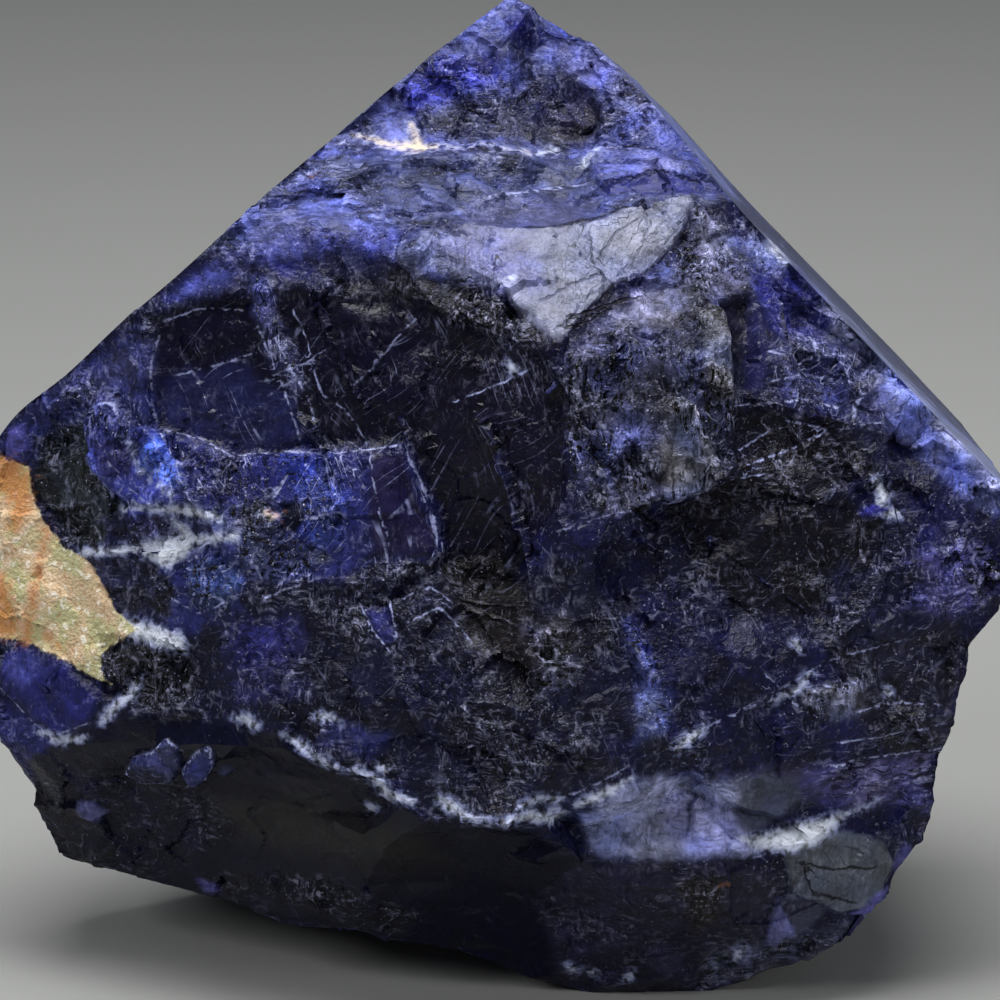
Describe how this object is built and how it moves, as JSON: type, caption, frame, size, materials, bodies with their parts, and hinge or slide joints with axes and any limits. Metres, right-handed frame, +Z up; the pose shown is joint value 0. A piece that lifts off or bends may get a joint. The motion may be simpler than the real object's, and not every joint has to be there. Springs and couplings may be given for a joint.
{
  "type": "rough sodalite",
  "caption": "Hand-sized chunk of rough sodalite: broken stepped faces, a rough crown, a hollow underside and straight sawn faces that meet at the peak, standing on a small flat spot.",
  "frame": {"origin": "on the surface the stone stands on, under the middle of its bounding box", "axes": "+X to the right along the broad front, +Y to the back, +Z up to the peak; the broad front looks towards -Y"},
  "size_m": [0.0882, 0.0556, 0.0794],
  "materials": {
    "sodalite": "broken and glassy, dark violet-blue with white veins and a tan patch; sawn faces satin"
  },
  "bodies": {
    "root": {"rough_sodalite": "sodalite"}
  },
  "joints": []
}
